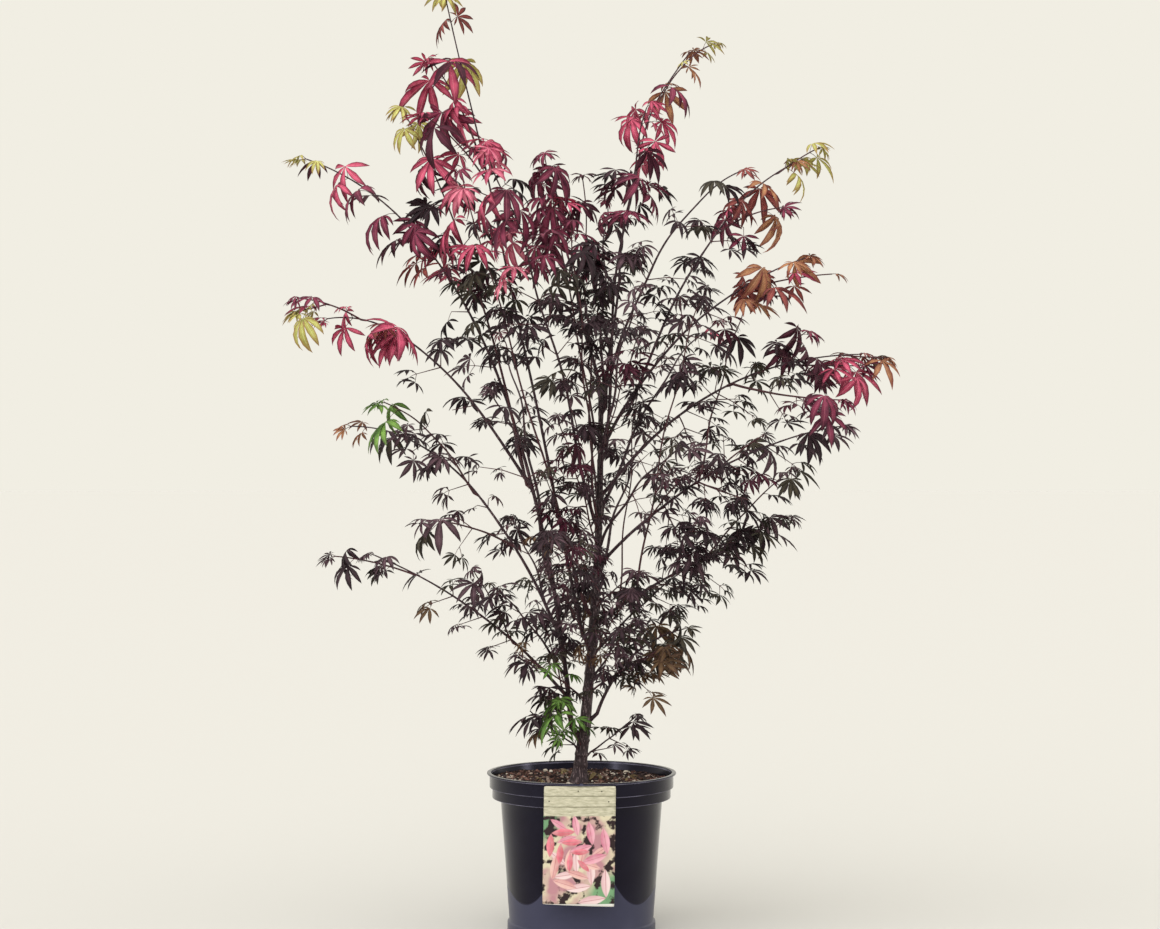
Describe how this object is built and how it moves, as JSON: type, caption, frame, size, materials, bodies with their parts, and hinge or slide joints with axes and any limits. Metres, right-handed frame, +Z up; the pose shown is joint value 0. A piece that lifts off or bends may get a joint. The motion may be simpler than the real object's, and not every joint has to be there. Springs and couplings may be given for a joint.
{
  "type": "potted japanese maple",
  "caption": "Many-stemmed Japanese maple with purple-black, deeply cut leaves that turn crimson at the tips, growing in a round black nursery container with a picture card.",
  "frame": {"origin": "centre of the pot's flat underside, which stands on the ground", "axes": "+Z up along the pot's axis, -Y to the front, where the card hangs, and +X to the right as seen from the front"},
  "size_m": [0.9429, 0.7854, 1.3788],
  "materials": {
    "bark": "smooth dark purple-brown young bark with pale pores",
    "dark_purple_leaf": "satin leaf, purple-black",
    "wine_leaf": "satin leaf, wine red",
    "crimson_leaf": "satin young leaf, crimson where light comes through",
    "bronze_leaf": "satin leaf, bronze brown",
    "green_leaf": "satin young leaf, bright green",
    "black_plastic": "glossy blow-moulded black plastic",
    "potting_soil": "loose bark compost with chips and pale grit",
    "printed_card": "satin printed plastic card"
  },
  "bodies": {
    "root": {"pot": "black_plastic", "soil": "potting_soil", "label": "printed_card", "trunk": "bark", "bough_back": "bark", "bough_back_left": "bark", "bough_back_low": "bark", "bough_back_right": "bark", "bough_back_top": "bark", "bough_front": "bark", "bough_front_left": "bark", "bough_front_low": "bark", "bough_front_right": "bark", "bough_front_top": "bark", "bough_left": "bark", "bough_left_mid": "bark", "bough_left_stem": "bark", "bough_low_left": "bark", "bough_low_right": "bark", "bough_right": "bark", "bough_right_high": "bark", "bough_right_low": "bark", "bough_right_mid": "bark", "bough_right_stem": "bark", "bough_right_top": "bark", "bough_shoot": "bark", "bough_top_left": "bark", "bough_top_right": "bark", "foliage_back": "dark_purple_leaf", "foliage_back_left": "dark_purple_leaf", "foliage_back_low": "dark_purple_leaf", "foliage_back_right": "dark_purple_leaf", "foliage_back_top": "dark_purple_leaf", "foliage_front": "dark_purple_leaf", "foliage_front_left": "dark_purple_leaf", "foliage_front_low": "dark_purple_leaf", "foliage_front_right": "dark_purple_leaf", "foliage_front_top": "crimson_leaf", "foliage_inner_left": "dark_purple_leaf", "foliage_inner_right": "dark_purple_leaf", "foliage_left": "dark_purple_leaf", "foliage_left_mid": "wine_leaf", "foliage_left_stem": "crimson_leaf", "foliage_low_back": "dark_purple_leaf", "foliage_low_front": "dark_purple_leaf", "foliage_low_left": "dark_purple_leaf", "foliage_low_right": "dark_purple_leaf", "foliage_low_twig_left": "green_leaf", "foliage_low_twig_right": "dark_purple_leaf", "foliage_right": "wine_leaf", "foliage_right_high": "wine_leaf", "foliage_right_low": "dark_purple_leaf", "foliage_right_mid": "wine_leaf", "foliage_right_stem": "bronze_leaf", "foliage_right_top": "wine_leaf", "foliage_shoot": "wine_leaf", "foliage_top": "wine_leaf", "foliage_top_left": "crimson_leaf", "foliage_top_right": "crimson_leaf"}
  },
  "joints": []
}
